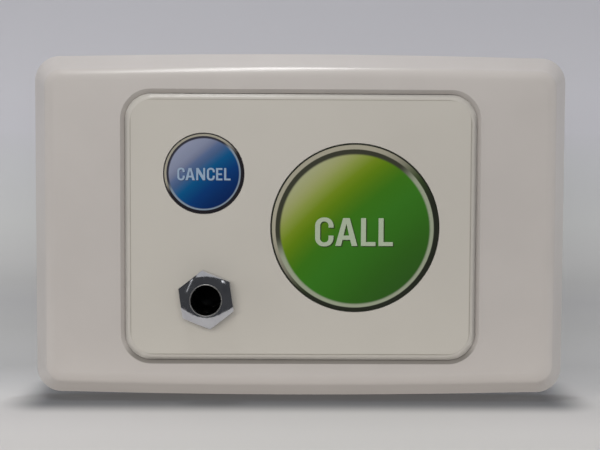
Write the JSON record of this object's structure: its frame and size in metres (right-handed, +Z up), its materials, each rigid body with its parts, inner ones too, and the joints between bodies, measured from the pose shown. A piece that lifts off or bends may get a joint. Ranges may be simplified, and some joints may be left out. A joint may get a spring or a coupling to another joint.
{
  "type": "patient call point",
  "caption": "Wall-mounted patient call point: clip-on surround, grid plate with call and cancel keys, a pendant jack in a hex nut, circuit board and screw terminals.",
  "frame": {"origin": "in the plane of the wall, halfway between the two wall screws, which is the plate's centre", "axes": "+X to the right and +Z up as seen from the room, -Y out of the wall towards the room"},
  "size_m": [0.116, 0.0332, 0.075],
  "materials": {
    "surround_plastic": "bone white moulded ABS with a fine satin texture",
    "plate_plastic": "bone white moulded ABS, satin",
    "cap_plastic": "bone white moulded ABS",
    "label_film": "cream printed polyester film, fine velvet texture",
    "call_print": "green printed polyester film",
    "cancel_print": "blue printed polyester film",
    "nut_chrome": "bright chrome plate on turned brass",
    "plated_steel": "nickel plated steel",
    "contact_brass": "stamped brass, tarnished a little",
    "black_plastic": "black glass-filled moulding",
    "silicone": "translucent silicone rubber",
    "board_laminate": "glass-epoxy laminate under green solder mask",
    "terminal_plastic": "green moulded polyamide",
    "capacitor_can": "drawn aluminium can on a black base",
    "ceramic_body": "fired ceramic with tinned ends",
    "resistor_body": "black glazed film on ceramic, tinned ends"
  },
  "bodies": {
    "plate": {"grid_plate": "plate_plastic", "label_film": "label_film", "jack_nut": "nut_chrome", "jack_washer": "plated_steel", "jack_bush": "plated_steel", "jack_body": "black_plastic", "jack_tip_lug": "contact_brass", "jack_break_contact": "contact_brass", "jack_sleeve_lug": "contact_brass", "circuit_board": "board_laminate", "board_screws": "plated_steel", "call_stop_pads": "silicone", "cancel_stop_pads": "silicone", "call_switch_base": "black_plastic", "call_switch_frame": "plated_steel", "call_switch_dome": "plated_steel", "call_switch_legs": "plated_steel", "cancel_switch_base": "black_plastic", "cancel_switch_frame": "plated_steel", "cancel_switch_dome": "plated_steel", "cancel_switch_legs": "plated_steel", "terminal_housing": "terminal_plastic", "terminal_screws": "plated_steel", "terminal_clamps": "plated_steel", "terminal_contacts": "contact_brass", "controller_chip": "black_plastic", "chip_legs": "plated_steel", "crystal": "plated_steel", "electrolytic_capacitor": "capacitor_can", "ceramic_capacitors": "ceramic_body", "resistors": "resistor_body"},
    "cover": {"surround_cover": "surround_plastic"},
    "call_key": {"call_key_cap": "cap_plastic", "call_key_film": "call_print"},
    "call_plunger": {"call_switch_plunger": "black_plastic"},
    "cancel_key": {"cancel_key_cap": "cap_plastic", "cancel_key_film": "cancel_print"},
    "cancel_plunger": {"cancel_switch_plunger": "black_plastic"},
    "tip_spring": {"jack_tip_spring": "contact_brass"}
  },
  "joints": [
    {"name": "cover_release", "type": "slide", "parent": "plate", "child": "cover", "axis": [0, -1, 0], "range_m": [0, 0.02]},
    {"name": "call_press", "type": "slide", "parent": "plate", "child": "call_key", "axis": [0, 1, 0], "range_m": [0, 0.00035], "stiffness_N_per_m": 4000, "springref_m": -0.0002},
    {"name": "call_plunger_press", "type": "slide", "parent": "plate", "child": "call_plunger", "axis": [0, 1, 0], "range_m": [0, 0.00035], "deforming": ["call_switch_dome"]},
    {"name": "cancel_press", "type": "slide", "parent": "plate", "child": "cancel_key", "axis": [0, 1, 0], "range_m": [0, 0.00035], "stiffness_N_per_m": 4000, "springref_m": -0.0002},
    {"name": "cancel_plunger_press", "type": "slide", "parent": "plate", "child": "cancel_plunger", "axis": [0, 1, 0], "range_m": [0, 0.00035], "deforming": ["cancel_switch_dome"]},
    {"name": "jack_tip_flex", "type": "hinge", "parent": "plate", "child": "tip_spring", "pos_m": [-0.0198, 0.0028, -0.01025], "axis": [1, 0, 0], "range_deg": [0, 6], "stiffness_Nm_per_rad": 0.2, "springref_deg": -1.72}
  ],
  "couplings": [
    {"joint": "call_plunger_press", "follows": "call_press", "ratio": 1},
    {"joint": "cancel_plunger_press", "follows": "cancel_press", "ratio": 1}
  ]
}
